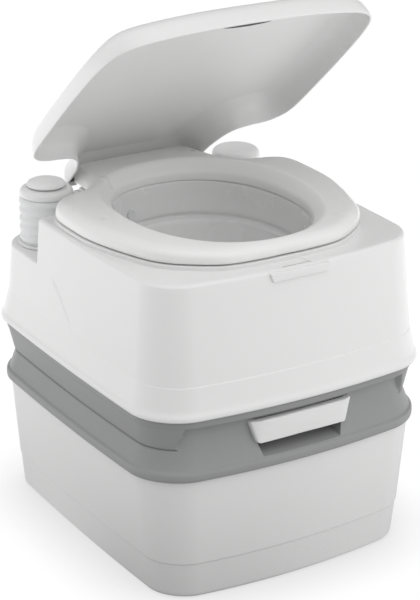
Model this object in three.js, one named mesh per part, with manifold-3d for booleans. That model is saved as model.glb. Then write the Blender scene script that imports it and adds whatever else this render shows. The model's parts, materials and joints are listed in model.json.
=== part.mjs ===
// Portable two-part camp toilet: a flush-water section (tank, bowl, seat, lid, bellows pump)
// standing on a waste section (tank, collar, slide valve, pour spout).
// Millimetres. +Z up, -Y is the front, origin at the centre of the ground face.
import * as THREE from "three";
import { mergeVertices } from "three/addons/utils/BufferGeometryUtils.js";
import Module from "manifold-3d";

const wasm = await Module();
wasm.setup();

// ---------------------------------------------------------------- driving dimensions
const HALF_WIDTH = 191.5, FRONT_Y = -213.5, REAR_Y = 213.5;   // flange outline
const SPLIT_Z = 226;            // parting plane between the two sections
const DECK_Z = 378;             // top deck of the flush tank
const PLINTH_Z = 381.5;         // raised land under the seat
const SHELF_Z = 323;            // pump and filler shelves at the rear corners
const NECK_HALF = 94;           // deck neck between the shelves
const HOLE_Y = -9;              // centre of the seat opening and bowl rim
const HINGE_Y = 175, HINGE_Z = 386;
const LID_OPEN = 41.5;          // degrees the lid stands open
const WALL = 3;
const BOWL_OUTLET_R = 50;
const PUMP_X = -133, PUMP_Y = 149, PUMP_R = 33.5;
const FILL_X = 133, FILL_Y = 149, CAP_R = 30;
const COLLAR_LOW = 152, COLLAR_TOP = 225.5;
const TANK_DECK = 180;          // top deck of the waste tank
const BLADE_Z = 200, BLADE_T = 4.5;
const SPOUT_X = -112, SPOUT_Y = 140, SPOUT_Z = 203;
const VENT_X = 104, VENT_Y = 148;
const LATCH_Y = 198, LATCH_Z = 188;

// ---------------------------------------------------------------- helpers
const toSolid = (g) => {
  g = g.index ? g.clone() : g.clone();
  for (const k of Object.keys(g.attributes)) if (k !== "position") g.deleteAttribute(k);
  g = mergeVertices(g, 1e-4);
  const idx = g.index.array, keep = [];
  for (let i = 0; i < idx.length; i += 3)
    if (idx[i] !== idx[i + 1] && idx[i + 1] !== idx[i + 2] && idx[i] !== idx[i + 2]) keep.push(idx[i], idx[i + 1], idx[i + 2]);
  const q = g.attributes.position.array, at = (k) => new THREE.Vector3(q[3 * k], q[3 * k + 1], q[3 * k + 2]);
  let vol = 0;
  for (let i = 0; i < keep.length; i += 3) vol += at(keep[i]).dot(at(keep[i + 1]).cross(at(keep[i + 2])));
  if (vol < 0) for (let i = 0; i < keep.length; i += 3) [keep[i + 1], keep[i + 2]] = [keep[i + 2], keep[i + 1]];
  return new wasm.Manifold(new wasm.Mesh({ numProp: 3, vertProperties: new Float32Array(g.attributes.position.array), triVerts: new Uint32Array(keep) }));
};
const toGeo = (m) => {
  const r = m.getMesh(), g = new THREE.BufferGeometry();
  const p = new Float32Array(r.numVert * 3);
  for (let i = 0; i < r.numVert; i++) for (let k = 0; k < 3; k++) p[3 * i + k] = r.vertProperties[i * r.numProp + k];
  g.setAttribute("position", new THREE.BufferAttribute(p, 3));
  g.setIndex(new THREE.BufferAttribute(new Uint32Array(r.triVerts), 1));
  g.computeVertexNormals();
  return g;
};
const join = (a, ...bs) => bs.reduce((m, b) => m.add(b), a);
const cut = (a, ...bs) => bs.reduce((m, b) => m.subtract(b), a);

// Rounded rectangle with bowed sides, counter-clockwise from above.
function sec(hw, yf, yr, r, sf = 17, ss = 5, sr = 4, n = 3) {
  const yc = (yf + yr) / 2, hd = (yr - yf) / 2, raw = [];
  const corner = (cx, cy, a0) => { for (let i = 0; i <= n; i++) { const a = a0 + (i / n) * Math.PI / 2; raw.push([cx + r * Math.cos(a), cy + r * Math.sin(a)]); } };
  const edge = (a, b, k) => { for (let i = 1; i <= k; i++) raw.push([a[0] + (b[0] - a[0]) * i / (k + 1), a[1] + (b[1] - a[1]) * i / (k + 1)]); };
  corner(hw - r, yr - r, 0); edge([hw - r, yr], [-hw + r, yr], 1);
  corner(-hw + r, yr - r, Math.PI / 2); edge([-hw, yr - r], [-hw, yf + r], 1);
  corner(-hw + r, yf + r, Math.PI); edge([-hw + r, yf], [hw - r, yf], 3);
  corner(hw - r, yf + r, 1.5 * Math.PI); edge([hw, yf + r], [hw, yr - r], 1);
  return raw.map(([x, y]) => {
    const t = (y - yc) / hd, u = x / hw;
    const X = x * (1 - (ss / hw) * t * t);
    const Y = t < 0 ? y + sf * u * u * -t : y - sr * u * u * t;
    return [X, Y];
  });
}
// Closed superellipse.
const oval = (a, b, n = 24, e = 2.2, cx = 0, cy = 0) => Array.from({ length: n }, (_, i) => {
  const t = (i / n) * 2 * Math.PI, c = Math.cos(t), s = Math.sin(t);
  return [cx + a * Math.sign(c) * Math.abs(c) ** (2 / e), cy + b * Math.sign(s) * Math.abs(s) ** (2 / e)];
});
const disc = (r, n = 24, cx = 0, cy = 0) => oval(r, r, n, 2, cx, cy);
// Stack of outlines with equal point counts, capped at both ends.
function loft(levels) {
  const n = levels[0][1].length, v = [], f = [];
  for (const [z, pts] of levels) for (const [x, y] of pts) v.push(x, y, z);
  for (let l = 0; l + 1 < levels.length; l++) for (let i = 0; i < n; i++) {
    const j = (i + 1) % n, a = l * n + i, b = l * n + j, c = a + n, d = b + n;
    f.push(a, b, d, a, d, c);
  }
  const cap = (l, flip) => THREE.ShapeUtils.triangulateShape(levels[l][1].map(([x, y]) => new THREE.Vector2(x, y)), [])
    .forEach(([a, b, c]) => flip ? f.push(l * n + a, l * n + c, l * n + b) : f.push(l * n + a, l * n + b, l * n + c));
  cap(0, true); cap(levels.length - 1, false);
  const g = new THREE.BufferGeometry();
  g.setAttribute("position", new THREE.BufferAttribute(new Float32Array(v), 3));
  g.setIndex(f);
  return toSolid(g);
}
const prism = (pts, z0, z1) => loft([[z0, pts], [z1, pts]]);
const box = (x0, x1, y0, y1, z0, z1) => toSolid(new THREE.BoxGeometry(x1 - x0, y1 - y0, z1 - z0).translate((x0 + x1) / 2, (y0 + y1) / 2, (z0 + z1) / 2));
const cylZ = (r, z0, z1, x = 0, y = 0, n = 24) => prism(disc(r, n, x, y), z0, z1);
const cylX = (r, x0, x1, y, z, n = 20) => toSolid(new THREE.CylinderGeometry(r, r, x1 - x0, n).rotateZ(Math.PI / 2).translate((x0 + x1) / 2, y, z));
const cylY = (r, y0, y1, x, z, n = 20) => toSolid(new THREE.CylinderGeometry(r, r, y1 - y0, n).translate(x, (y0 + y1) / 2, z));
// Surface of revolution about Z from a closed (or axis to axis) profile of [r, z].
const lathe = (prof, x = 0, y = 0, n = 20) => (prof[0][0] > 0 || prof.at(-1)[0] > 0 ? prof = [...prof, prof[0]] : prof, toSolid(new THREE.LatheGeometry(prof.map(([r, z]) => new THREE.Vector2(r, z)), n).rotateX(Math.PI / 2).translate(x, y, 0)));
const ring = (r0, r1, z0, z1, x = 0, y = 0, n = 24) => cylZ(r1, z0, z1, x, y, n).subtract(cylZ(r0, z0 - 1, z1 + 1, x, y, n));
// Moves every point of an outline inwards by d.
function inset(pts, d) {
  const n = pts.length;
  return pts.map((p, i) => {
    const a = pts[(i + n - 1) % n], b = pts[(i + 1) % n];
    const e1 = new THREE.Vector2(p[0] - a[0], p[1] - a[1]).normalize(), e2 = new THREE.Vector2(b[0] - p[0], b[1] - p[1]).normalize();
    const m = e1.add(e2).normalize();
    return [p[0] - m.y * d, p[1] + m.x * d];
  });
}
// Even resampling of a closed outline given by its right half (front to rear), mirrored in X.
function outline(half, n = 64) {
  const pts = half.map(([x, y]) => new THREE.Vector3(x, y, 0));
  const left = half.slice().reverse().filter(([x]) => x > 1e-6).map(([x, y]) => new THREE.Vector3(-x, y, 0));
  const c = new THREE.CatmullRomCurve3([...pts, ...left], true, "centripetal");
  return c.getSpacedPoints(n).slice(0, n).map((p) => [p.x, p.y]);
}
// Tube along a curve; r0 is the bore, 0 for a solid rod.
function tube(points, r1, r0 = 0, steps = 24, seg = 10) {
  const c = new THREE.CatmullRomCurve3(points.map((p) => new THREE.Vector3(...p)));
  const s = new THREE.Shape(); s.absarc(0, 0, r1, 0, Math.PI * 2, false);
  if (r0) { const h = new THREE.Path(); h.absarc(0, 0, r0, 0, Math.PI * 2, true); s.holes.push(h); }
  return toSolid(new THREE.ExtrudeGeometry(s, { steps, extrudePath: c, curveSegments: seg, bevelEnabled: false }));
}

const object = new THREE.Group();
const palette = {
  white: { color: 0xe9eaec, roughness: 0.32, metalness: 0 },
  cream: { color: 0xe2e3e4, roughness: 0.4, metalness: 0 },
  grey: { color: 0x8f9193, roughness: 0.45, metalness: 0 },
  dark: { color: 0x4a4c4e, roughness: 0.6, metalness: 0 },
  rubber: { color: 0x2a2a2b, roughness: 0.8, metalness: 0 },
  steel: { color: 0xb6b8ba, roughness: 0.3, metalness: 0.9 },
  soft: { color: 0xdedfe0, roughness: 0.55, metalness: 0 },
};
function add(name, solid, mat, group = object) {
  const m = new THREE.Mesh(toGeo(solid), new THREE.MeshStandardMaterial(palette[mat]));
  m.name = name; group.add(m); return m;
}

// ---------------------------------------------------------------- flush section: tank
const tankLevels = (d, z0, z1) => [
  [z0, 190.5 - d, FRONT_Y + 1 + d, REAR_Y - 1 - d, 53 - d], [229, HALF_WIDTH - d, FRONT_Y + d, REAR_Y - d, 53 - d],
  [235, 191 - d, -213 + d, 212.8 - d, 53 - d], [241, 187.6 - d, -209.6 + d, 209 - d, 51 - d],
  [263, 184 - d, -206 + d, 204.2 - d, 48 - d], [265, 183 - d, -205 + d, 203 - d, 48 - d],
  [z1 - 5, 175.8 - d, -193.4 + d, 192.2 - d, 40 - d], [z1 - 1.5, 174.4 - d, -192 + d, 190.8 - d, 39 - d], [z1, 171 - d, -188.6 + d, 187.4 - d, 37 - d],
].map(([z, hw, yf, yr, r]) => [z, sec(hw, yf, yr, r)]);
const seatHalf = [[0, -167], [32, -167], [76, -161], [111, -140], [127, -126], [140, -108], [150, -83], [160, -50], [167, -15], [168, 20], [166.5, 56], [162, 70.5],
  [153.5, 81], [140, 88.5], [122, 93], [109, 98], [100, 106.5], [93, 119], [88.5, 135], [86, 150], [84, 168], [83, 177], [76, 182.6], [60, 183.5], [30, 183.5], [0, 183.5]];
const seatLine = outline(seatHalf, 44);
const plinthLine = inset(seatLine, -4.5);
const NOTCH_Y = 90, NOTCH_R = 22;
const notch = (s, d) => {
  const pts = [[205, NOTCH_Y - d], [205, 235], [NECK_HALF - d, 235]];
  for (let i = 0; i <= 4; i++) { const a = Math.PI + (i / 4) * Math.PI / 2; pts.push([NECK_HALF + NOTCH_R + (NOTCH_R + d) * Math.cos(a), NOTCH_Y + NOTCH_R + (NOTCH_R + d) * Math.sin(a)]); }
  return prism(s < 0 ? pts.map(([x, y]) => [-x, y]).reverse() : pts, SHELF_Z - d, 400);
};
const rearStep = (d) => box(-96 + d, 96 - d, 158 - d, 235, 351 - d, 400);
const outerTank = cut(join(loft(tankLevels(0, SPLIT_Z, DECK_Z)), prism(plinthLine, DECK_Z - 2, PLINTH_Z)), notch(-1, 0), notch(1, 0), rearStep(0));
const cavity = cut(loft(tankLevels(WALL, SPLIT_Z - 1, DECK_Z - WALL)), notch(-1, WALL), notch(1, WALL), rearStep(WALL));
const bowlOuter = [[228.6, 53, 53, 0], [240, 55, 55, 0], [262, 69, 75, -3], [300, 96, 112, -8], [331, 106, 124, -10], [336, 110.5, 129, -10], [381, 113, 133, HOLE_Y]];
const bowlLoft = (levels) => loft(levels.map(([z, a, b, c]) => [z, oval(a, b, 24, 2.2, 0, c)]));
const bowlSolid = bowlLoft(bowlOuter);
const bowlHole = bowlLoft([[360, 114, 134, HOLE_Y], [390, 114, 134, HOLE_Y]]);
const clipSlot = box(-18, 18, -185, -176, DECK_Z - 1.6, 390);
let flushTank = cut(outerTank, cavity, bowlHole, clipSlot,
  cylZ(24, 300, 330, PUMP_X, PUMP_Y), cylZ(22, 300, 330, FILL_X, FILL_Y));
add("flush_tank", flushTank, "white");

// closing plate inside the foot of the tank, with a ring of stiffening ribs
const basePlate = loft([[229.5, sec(187.2, -209.2, 209.2, 49)], [232.5, sec(187.2, -209.2, 209.2, 49)]]);
let flushBase = cut(join(basePlate, ring(57.5, 61.5, 232, 240)), cylZ(58.4, 220, 260));
add("flush_tank_base", flushBase, "cream");

const bowlInner = [[220, 50, 50, 0], [240, 52, 52, 0], [262, 66, 72, -3], [300, 93, 109, -8], [332, 103, 121, -10], [336, 107.5, 126, -10], [390, 111.2, 131.2, HOLE_Y]];   // ledge at 332
const NOZ = { x: -40, y: 111.5, z: 352 };
let bowl = cut(bowlSolid, bowlLoft(bowlInner), cylY(6.4, NOZ.y - 8, NOZ.y + 22, NOZ.x, NOZ.z));
add("bowl", bowl, "white");
add("bowl_outlet_seal", ring(51, 60, 226.3, 228.2), "rubber");
add("flush_nozzle", cut(join(cylY(6, NOZ.y - 6, NOZ.y + 12, NOZ.x, NOZ.z), cylY(9, NOZ.y + 12, NOZ.y + 15, NOZ.x, NOZ.z)), cylY(3.4, NOZ.y - 3, NOZ.y + 21, NOZ.x, NOZ.z)), "cream");

// ---------------------------------------------------------------- seat, lid and their hinge
const seatLevels = [[382, 0], [388, 0.8], [395, 4.6], [399.5, 10.5], [402, 19]].map(([z, d]) => [z, inset(seatLine, d)]);
const seatHoleLevels = [[380, 107, 130], [386, 107, 130], [395, 111, 134.5], [400, 116, 139.5], [402.3, 121, 144.5], [404, 123, 146.5]].map(([z, a, b]) => [z, oval(a, b, 28, 2.2, 0, HOLE_Y)]);
const ARM = [60, 72];                                   // hinge arm width band
let seat = cut(loft(seatLevels), loft(seatHoleLevels));
for (const s of [-1, 1]) {
  const [a, b] = s < 0 ? [-ARM[1] - 1, -ARM[0] + 1] : [ARM[0] - 1, ARM[1] + 1];
  seat = cut(seat, box(a, b, 150, 200, 370, 395.5), cylX(4.3, s < 0 ? -100 : 50, s < 0 ? -50 : 100, HINGE_Y, HINGE_Z));
}
const buffers = [["seat_buffer_front_left", -128, -62], ["seat_buffer_front_right", 128, -62], ["seat_buffer_rear_left", -134, 62], ["seat_buffer_rear_right", 134, 62]];
for (const [, x, y] of buffers) seat = cut(seat, cylZ(6.4, 380, 385.3, x, y, 20));
add("seat", seat, "white");
for (const [n, x, y] of buffers) add(n, cylZ(6, 381.8, 385, x, y, 20), "rubber");

for (const [side, s] of [["left", -1], ["right", 1]]) {
  const [a, b] = s < 0 ? [-ARM[1], -ARM[0]] : ARM;
  // arm reaches back from the neck deck and carries the pin beyond the deck's rear edge
  let arm = cut(join(box(a, b, 139, HINGE_Y, PLINTH_Z + 0.3, HINGE_Z + 6), box(a, b, 158.3, HINGE_Y, 377, HINGE_Z), cylX(6.6, a, b, HINGE_Y, HINGE_Z, 20)), cylX(4.3, a - 2, b + 2, HINGE_Y, HINGE_Z));
  arm = cut(arm, box(a - 1, b + 1, 130, 151.5, 370, 400));
  add("hinge_arm_" + side, arm, "white");
  add("hinge_pin_" + side, s < 0 ? cylX(3.9, -91.2, -54, HINGE_Y, HINGE_Z) : cylX(3.9, 54, 91.2, HINGE_Y, HINGE_Z), "dark");
}

// lid outline in its own plane: x across, y from the hinge (front is -y)
const lidHalf = [[0, -378], [60, -377], [110, -373.5], [140, -369.5], [160, -361], [173, -346], [179.5, -325], [182, -290], [182.5, -220], [182, -145], [181, -114], [176, -99],
  [164, -87], [149, -81], [132, -79], [115, -74], [105, -64], [98, -48], [94, -32], [92.3, -10], [92, 6], [88.5, 12.5], [80, 14.8], [40, 15], [0, 15]];
const lidLine = outline(lidHalf, 44);
// draws an outline in by d at the sides and front and by half of d at the tail
const shrink = (pts, d, e = 0) => inset(pts, e).map(([x, y]) => [x * (1 - d / 182), y + d * (0.5 - 1.5 * (y + 378) / 393) * 1 + d * 0.5]);
const lidOut = [[-4, 0], [10, 3], [19, 7.2], [25, 13], [28.5, 21], [29.8, 31]].map(([z, d]) => [z, shrink(lidLine, d)]);
const lidIn = [[-6, 0], [9, 3], [17, 7.2], [22.5, 13], [25.8, 22]].map(([z, d]) => [z, shrink(lidLine, d, 3)]);
let lid = cut(loft(lidOut), loft(lidIn), box(-34, 34, -400, -360, -8, 0.2));
for (const s of [-1, 1]) {
  const [a, b] = s < 0 ? [-ARM[1] - 1.5, -ARM[0] + 1.5] : [ARM[0] - 1.5, ARM[1] + 1.5];
  lid = cut(lid, box(a, b, 5, 30, -10, 13.5), cylX(4.3, s < 0 ? -100 : 80, s < 0 ? -80 : 100, 0, 0));
}
const lidMesh = add("lid", lid, "white");
lidMesh.position.set(0, HINGE_Y, HINGE_Z);
lidMesh.rotation.x = -LID_OPEN * Math.PI / 180;

// catch plate on the tank's front edge
const tab = cut(toSolid((() => { const s = new THREE.Shape([[-40, 376.5], [-36, 366], [36, 366], [40, 376.5]].map(([x, z]) => new THREE.Vector2(x, z))); return new THREE.ExtrudeGeometry(s, { depth: 16, bevelEnabled: false }).rotateX(Math.PI / 2).translate(0, -181, 0); })()),
  loft(tankLevels(-0.35, SPLIT_Z, DECK_Z)));
add("lid_catch", tab, "white");

// ---------------------------------------------------------------- bellows pump
add("pump_clamp_ring", cut(ring(25, 38, SHELF_Z + 0.3, SHELF_Z + 4.3, PUMP_X, PUMP_Y)), "white");
const B0 = SHELF_Z + 4.6, B1 = 387.5, NB = 5;
const bell = [];
for (let i = 0; i < NB; i++) {
  const z = B0 + (i * (B1 - B0)) / NB, p = (B1 - B0) / NB;
  bell.push([30.2, z], [PUMP_R - 0.2, z + p * 0.25], [PUMP_R - 0.2, z + p * 0.75]);
}
bell.push([30.2, B1]);
add("pump_bellows", lathe([...bell, [0, B1], [0, B1 - 2.4], [28, B1 - 2.4], [28, B0]], PUMP_X, PUMP_Y), "soft");
add("pump_knob", lathe([[0, B1 + 0.3], [29.5, B1 + 0.3], [29, 390], [24, 391.4], [17, 392.4], [16.4, 394], [22.3, 395.2], [23.3, 397.2], [22, 400], [16, 401.8], [0, 402.6]], PUMP_X, PUMP_Y), "white");
add("pump_valve_body", cut(lathe([[5, 284], [23.5, 284], [23.5, 326.4], [21, 326.4], [21, 287], [5, 287]], PUMP_X, PUMP_Y), cylX(6.3, PUMP_X + 18, PUMP_X + 27, PUMP_Y, 300)), "cream");
add("pump_flap_valve", cylZ(9, 287.4, 288.9, PUMP_X, PUMP_Y, 20), "rubber");
add("suction_tube", ring(4.4, 6.2, 236, 283.6, PUMP_X, PUMP_Y, 16), "soft");
add("flush_hose", tube([[PUMP_X + 24.2, PUMP_Y, 300], [-96, PUMP_Y, 300], [-76, 148.5, 306], [-56, 147, 326], [-43, 144, 345], [NOZ.x, 136, NOZ.z], [NOZ.x, NOZ.y + 15.4, NOZ.z]], 5.2, 3.6, 14, 3), "soft");

// ---------------------------------------------------------------- filler
add("filler_neck", lathe([[18, 312], [21.5, 312], [21.5, 323.3], [28, 323.3], [28, 358], [24.5, 361], [24.5, 391], [18, 391]], FILL_X, FILL_Y), "white");
add("filler_cap", lathe([[25.2, 362], [CAP_R - 0.4, 362], [CAP_R, 364], [CAP_R - 0.4, 391], [CAP_R - 2.6, 396.2], [20, 399], [0, 399.8], [0, 394.6], [25.2, 394.6]], FILL_X, FILL_Y), "white");
add("filler_cap_seal", ring(17.5, 24.4, 391.4, 394.2, FILL_X, FILL_Y), "rubber");

// ---------------------------------------------------------------- waste section: tank and collar
const wasteLevels = (d, z0, z1) => [[z0, 163 - d, -194 + d, 195 - d, 36 - d], [z0 + 2.5, 166.6 - d, -197.6 + d, 198.6 - d, 39 - d], [z0 + 6, 168.4 - d, -199.4 + d, 200.2 - d, 40 - d],
  [44.5, 173 - d, -202 + d, 200.8 - d, 43 - d], [46, 174 - d, -203 + d, 201.6 - d, 43.5 - d], [150, 186 - d, -206.6 + d, 201 - d, 52 - d],
  [z1 - 20, 186 - d, -206.6 + d, 201 - d, 52 - d], [z1 - 6, 179 - d, -198 + d, 194 - d, 46 - d], [z1, 173 - d, -192 + d, 188 - d, 41 - d]]
  .map(([z, hw, yf, yr, r]) => [z, sec(hw, yf, yr, r)]);
const gripClear = (d) => box(-61 - d, 61 + d, -235, -175.5 + d, 160.4 - d, 200);
let waste = cut(loft(wasteLevels(0, 0, TANK_DECK)), gripClear(0));
waste = cut(waste, cut(loft(wasteLevels(3.5, 3.5, TANK_DECK - 3.5)), gripClear(3.5)), cylZ(53, 150, 200), cylZ(20, 150, 200, SPOUT_X, SPOUT_Y), cylZ(4.5, 150, 200, VENT_X, VENT_Y, 20));
add("waste_tank", waste, "white");

const collarLevels = [[COLLAR_LOW, 1.8, 0], [155, 0.2, 0], [167, 0.4, 0.05], [171.5, 3, 0.15], [182, 9, 0.3], [195, 12, 0.5], [208, 9, 0.75], [217, 5.4, 0.9], [COLLAR_TOP, 4, 1]];
const collarSec = (d, t, w = 0) => sec(HALF_WIDTH - d - w, -212 - 1.5 * t + d + w, 206 + 7 * t - d - w, 56 - d - w, 18, 5.5, 4);
const collarOuter = loft(collarLevels.map(([z, d, t]) => [z, collarSec(d, t)]));
const frontIn = (pts, y) => pts.map(([x, yy]) => [x, Math.max(yy, y)]);
const collarInner = loft([[150, 0, 0], ...collarLevels.slice(1, -1), [230, 4, 1]].map(([z, d, t]) => [z, frontIn(collarSec(d, t, 3.4), z > 181 ? -188 : -230)]));
const trap = (zt, zb, wt, wb, y0, y1) => toSolid((() => { const s = new THREE.Shape([[-wt, zt], [-wb, zb], [wb, zb], [wt, zt]].map(([x, z]) => new THREE.Vector2(x, z))); return new THREE.ExtrudeGeometry(s, { depth: y1 - y0, bevelEnabled: false }).rotateX(Math.PI / 2).translate(0, y1, 0); })());
let collar = join(cut(collarOuter, collarInner), trap(184.5, 161, 60, 56, -204, -176));
collar = cut(collar, trap(221, 178, 151, 140, -240, -196.5), trap(182, 166, 57, 52, -240, -179),
  box(-25, 25, -215, -180, 198.6, 206), box(SPOUT_X - 26, SPOUT_X + 64, 168, 230, 182.4, 240), box(48, 82, 186, 230, 211, 240));
collar = join(collar, box(35.5, 39.5, 186, 203, 182, 194), box(90.5, 94.5, 186, 203, 182, 194));
collar = cut(collar, cylX(2.3, 30, 100, LATCH_Y, LATCH_Z, 16), box(39.5, 90.5, 195.4, 230, 182, 224.5), cylX(4.7, 39.5, 90.5, LATCH_Y, LATCH_Z, 16));
add("collar", collar, "grey");

// ---------------------------------------------------------------- slide valve
const screws = [["valve_screw_front_left", -75, -150], ["valve_screw_front_right", 75, -150], ["valve_screw_rear_left", -75, 66], ["valve_screw_rear_right", 75, 66]];
let housing = cut(box(-84, 84, -174, 80, TANK_DECK + 0.3, 205.6), box(-67, 67, -200, 66, BLADE_Z - 0.5, 210), cylZ(52, 170, 230));
let cover = cut(join(box(-84, 84, -174, 80, 206, 210), ring(54, 62, 209, 225.9)), cylZ(52, 170, 230));
for (const [, x, y] of screws) { const h = cylZ(2.4, 150, 230, x, y, 12); housing = cut(housing, h); cover = cut(cover, h); }
add("valve_housing", housing, "dark");
add("valve_cover", cover, "grey");
for (const [n, x, y] of screws) add(n, cut(join(cylZ(2, 184, 211, x, y, 12), cylZ(4.2, 210.3, 212.8, x, y, 16)), box(x - 3, x + 3, y - 0.5, y + 0.5, 211.8, 214)), "steel");
add("valve_blade", join(box(-62, 62, -58, 62, BLADE_Z, BLADE_Z + BLADE_T), box(-20, 20, -197.6, -57, BLADE_Z, BLADE_Z + BLADE_T)), "cream");
add("blade_lip_seal", ring(52.6, 60, BLADE_Z + BLADE_T + 0.25, 205.75), "rubber");
add("blade_wiper_seal", box(-62, 62, -72, -68, BLADE_Z + BLADE_T + 0.25, 205.75), "rubber");
add("valve_handle", trap(210.5, 183, 68, 59, -207, -198), "white");

// ---------------------------------------------------------------- pour spout
let spout = cut(join(cylZ(26, TANK_DECK + 0.5, 221, SPOUT_X, SPOUT_Y), cylX(18, SPOUT_X, SPOUT_X + 62, SPOUT_Y, SPOUT_Z, 20)),
  cylZ(22.5, 170, 216, SPOUT_X, SPOUT_Y), cylX(15, SPOUT_X, SPOUT_X + 70, SPOUT_Y, SPOUT_Z, 20));
add("pour_spout", spout, "grey");
add("spout_ring", ring(26.5, 31, TANK_DECK + 0.3, 184.2, SPOUT_X, SPOUT_Y), "dark");
add("spout_cap", cut(cylX(20.2, SPOUT_X + 50, SPOUT_X + 68, SPOUT_Y, SPOUT_Z, 20), cylX(18.4, SPOUT_X + 40, SPOUT_X + 65, SPOUT_Y, SPOUT_Z, 20)), "dark");
add("spout_cap_seal", cut(cylX(17.6, SPOUT_X + 62.4, SPOUT_X + 64.6, SPOUT_Y, SPOUT_Z, 20), cylX(12, SPOUT_X + 60, SPOUT_X + 66, SPOUT_Y, SPOUT_Z, 20)), "rubber");

// ---------------------------------------------------------------- air vent with push button
add("vent_body", ring(9.4, 14, TANK_DECK + 0.3, 196, VENT_X, VENT_Y, 24), "dark");
add("vent_button", join(lathe([[0, 192], [8.8, 192], [8.8, 201], [7.6, 202.4], [0, 202.8]], VENT_X, VENT_Y, 24), cylZ(2.8, 172, 193, VENT_X, VENT_Y, 16)), "grey");
add("vent_seal", cut(cylZ(8, 172.6, 176.2, VENT_X, VENT_Y, 20), cylZ(3.1, 160, 180, VENT_X, VENT_Y, 16)), "rubber");
const helix = Array.from({ length: 33 }, (_, i) => [VENT_X + 6.4 * Math.cos(i * Math.PI / 4), VENT_Y + 6.4 * Math.sin(i * Math.PI / 4), TANK_DECK + 1 + i * 6 / 32]);
add("vent_spring", tube(helix, 0.5, 0, 40, 2), "steel");

// ---------------------------------------------------------------- rear latch between the two sections
add("latch_lever", cut(join(box(40, 90, 195.8, 200.4, 184.5, 221.5), cylX(4, 40, 90, LATCH_Y, LATCH_Z, 16)), cylX(2.3, 30, 100, LATCH_Y, LATCH_Z, 16)), "grey");
add("latch_pin", cylX(2, 35, 95, LATCH_Y, LATCH_Z, 16), "steel");
add("latch_keeper", box(51, 79, 191, 195, 214, SPLIT_Z - 0.3), "white");

export default object;
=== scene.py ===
import json
import math
import bpy
import bmesh
import numpy as np
from mathutils import Matrix, Vector
from mathutils.kdtree import KDTree


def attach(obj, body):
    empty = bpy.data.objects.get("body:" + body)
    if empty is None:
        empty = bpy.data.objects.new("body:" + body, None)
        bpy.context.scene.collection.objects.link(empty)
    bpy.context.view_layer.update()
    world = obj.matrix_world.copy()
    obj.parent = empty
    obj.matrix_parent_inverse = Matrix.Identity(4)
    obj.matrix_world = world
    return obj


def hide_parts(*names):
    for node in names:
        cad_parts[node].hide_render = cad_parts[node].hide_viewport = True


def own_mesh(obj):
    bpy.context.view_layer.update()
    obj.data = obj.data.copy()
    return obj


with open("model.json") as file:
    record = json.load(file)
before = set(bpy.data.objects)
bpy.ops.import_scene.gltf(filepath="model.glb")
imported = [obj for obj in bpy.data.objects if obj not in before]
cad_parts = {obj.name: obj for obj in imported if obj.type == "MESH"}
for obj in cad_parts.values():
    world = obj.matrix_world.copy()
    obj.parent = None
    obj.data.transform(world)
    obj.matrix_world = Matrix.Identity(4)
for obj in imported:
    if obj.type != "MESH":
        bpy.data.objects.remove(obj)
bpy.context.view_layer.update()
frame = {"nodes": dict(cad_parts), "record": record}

NODES = frame["nodes"]
TAU = 2 * math.pi

# ------------------------------------------------------------------ numeric helpers
def pchip(xs, ys, x):
    """Monotone cubic interpolation, clamped at both ends."""
    xs, ys, x = np.asarray(xs, float), np.asarray(ys, float), np.asarray(x, float)
    h, d = np.diff(xs), np.diff(ys) / np.diff(xs)
    m = np.zeros_like(ys)
    m[0], m[-1] = d[0], d[-1]
    for i in range(1, len(xs) - 1):
        if d[i - 1] * d[i] > 0:
            w1, w2 = 2 * h[i] + h[i - 1], h[i] + 2 * h[i - 1]
            m[i] = (w1 + w2) / (w1 / d[i - 1] + w2 / d[i])
    xc = np.clip(x, xs[0], xs[-1])
    k = np.clip(np.searchsorted(xs, xc, side="right") - 1, 0, len(xs) - 2)
    t = (xc - xs[k]) / h[k]
    return ((2 * t**3 - 3 * t**2 + 1) * ys[k] + (t**3 - 2 * t**2 + t) * h[k] * m[k]
            + (-2 * t**3 + 3 * t**2) * ys[k + 1] + (t**3 - t**2) * h[k] * m[k + 1])


def smooth(e0, e1, x):
    t = np.clip((x - e0) / (e1 - e0), 0, 1)
    return t * t * (3 - 2 * t)


def smin(a, b, k):
    h = np.clip(0.5 + 0.5 * (b - a) / k, 0, 1)
    return b * (1 - h) + a * h - k * h * (1 - h)


def smax(a, b, k):
    return -smin(-a, -b, k)


def dense(poly, step=0.5):
    poly = np.asarray(poly, float)
    out = []
    for a, b in zip(poly, np.roll(poly, -1, axis=0)):
        n = max(1, int(np.hypot(*(b - a)) / step))
        out.append(a + (b - a) * np.linspace(0, 1, n, endpoint=False)[:, None])
    return np.vstack(out)


def section(hw, yf, yr, r, sf=17.0, ss=5.0, sr=4.0, n=24):
    """Rounded rectangle with bowed sides, counter-clockwise."""
    yc, hd, raw = (yf + yr) / 2, (yr - yf) / 2, []
    for cx, cy, a0 in ((hw - r, yr - r, 0), (-hw + r, yr - r, 0.5), (-hw + r, yf + r, 1.0), (hw - r, yf + r, 1.5)):
        a = (a0 + np.linspace(0, 0.5, n)) * math.pi
        raw.append(np.stack([cx + r * np.cos(a), cy + r * np.sin(a)], 1))
    p = dense(np.vstack(raw), 2.0)
    x, y = p[:, 0], p[:, 1]
    t, u = (y - yc) / hd, x / hw
    X = x * (1 - (ss / hw) * t * t)
    Y = np.where(t < 0, y + sf * u * u * -t, y - sr * u * u * t)
    return np.stack([X, Y], 1)


def ray(poly, th, c=(0.0, 0.0)):
    """Distance from c to a star-shaped outline along each angle in th."""
    p = dense(poly, 0.6) - np.asarray(c)
    a, r = np.arctan2(p[:, 1], p[:, 0]) % TAU, np.hypot(p[:, 0], p[:, 1])
    o = np.argsort(a)
    return np.interp(th % TAU, a[o], r[o], period=TAU)


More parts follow.
